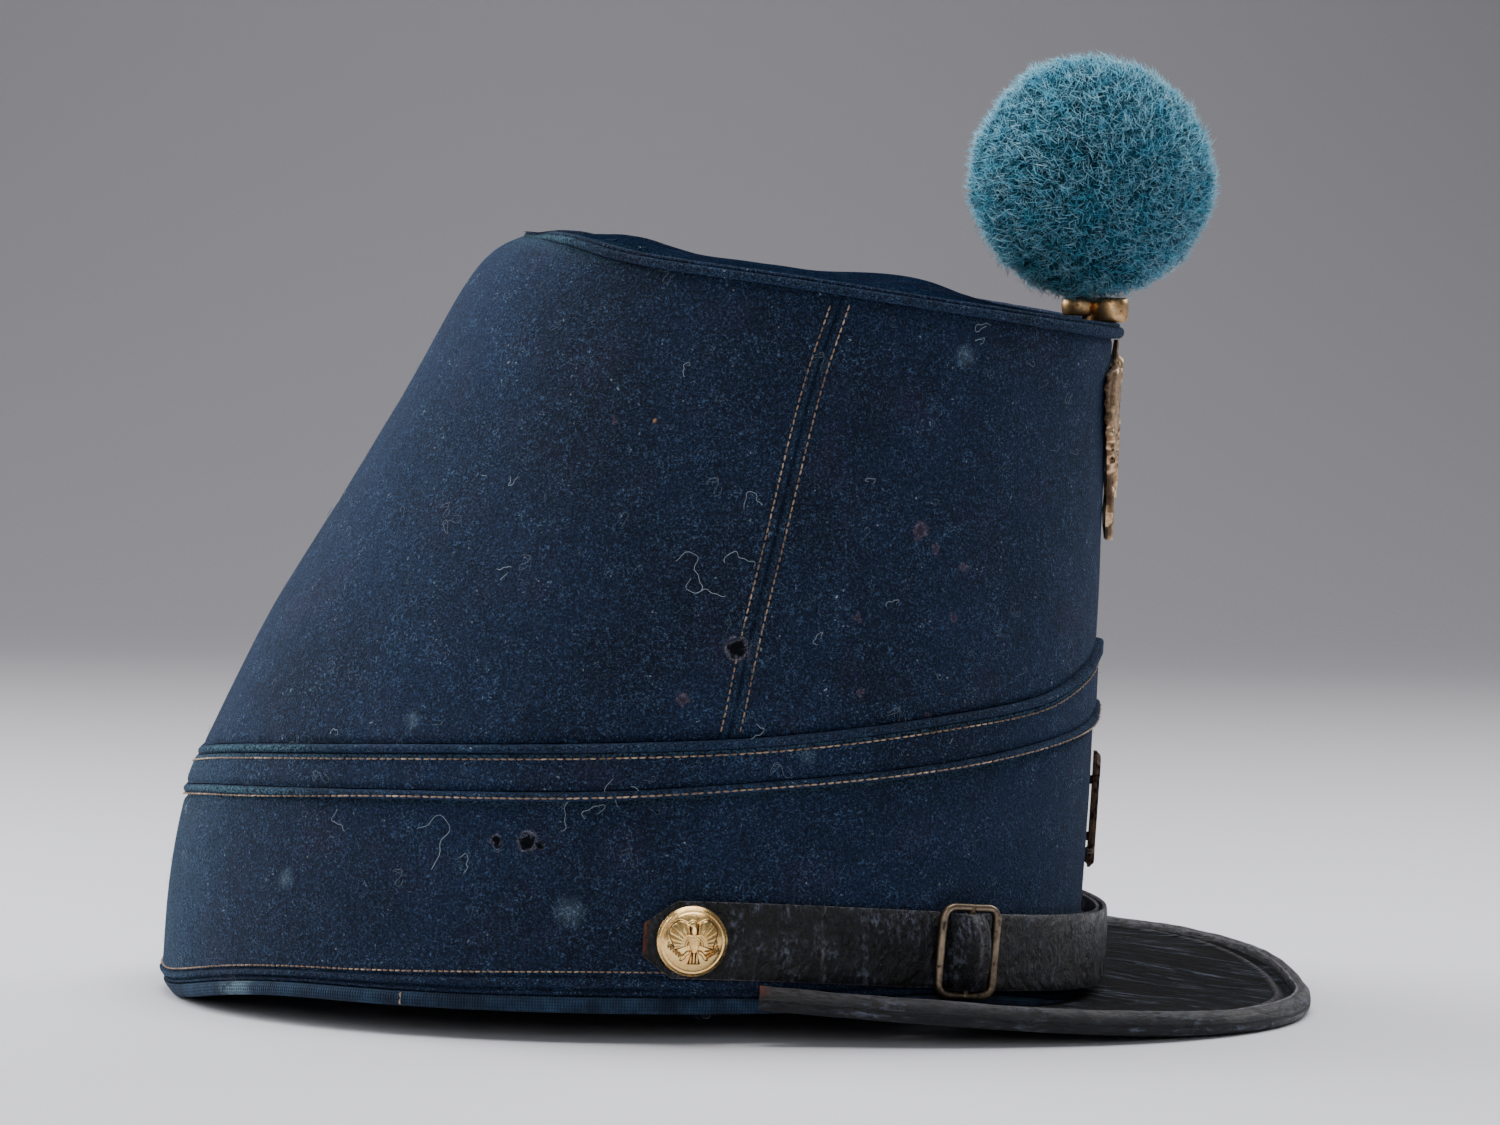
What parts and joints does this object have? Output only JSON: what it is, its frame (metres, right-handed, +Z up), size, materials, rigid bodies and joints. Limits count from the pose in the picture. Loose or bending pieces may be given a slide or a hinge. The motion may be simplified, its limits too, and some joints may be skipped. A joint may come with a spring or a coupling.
{
  "type": "shako",
  "caption": "Cloth-covered military shako with a slanted back, corded welts, leather peak, buckled chin strap, brass eagle fittings and a round wool pompom.",
  "frame": {"origin": "middle of the footprint, which runs from the back of the rim to the tip of the peak, on the surface that the hat stands on", "axes": "+X is the front of the hat, +Y is its left side, +Z is up"},
  "size_m": [0.2571, 0.1771, 0.2105],
  "materials": {
    "navy_cloth": "fulled navy wool broadcloth, worn, with lint and small moth holes",
    "ribbed_binding": "ribbed navy wool braid, worn to teal on its edges",
    "black_leather": "old black enamelled leather, scuffed and cracked",
    "dull_brass": "brown, tarnished brass",
    "gilt_brass": "gilt stamped brass, softly worn",
    "teal_wool": "dense cut wool pile, teal blue"
  },
  "bodies": {
    "root": {"crown_front": "navy_cloth", "crown_back": "navy_cloth", "crown_tip": "navy_cloth", "top_welt": "navy_cloth", "band_upper_welt": "navy_cloth", "band_strip": "navy_cloth", "band_lower_welt": "navy_cloth", "head_band": "navy_cloth", "base_binding": "ribbed_binding", "peak": "black_leather", "peak_binding": "black_leather", "chin_strap_outer": "black_leather", "chin_strap_inner": "black_leather", "buckle": "dull_brass", "button_right": "gilt_brass", "button_left": "gilt_brass", "front_plate": "gilt_brass", "front_numeral": "dull_brass", "pompom_seat": "gilt_brass", "pompom": "teal_wool"}
  },
  "joints": []
}
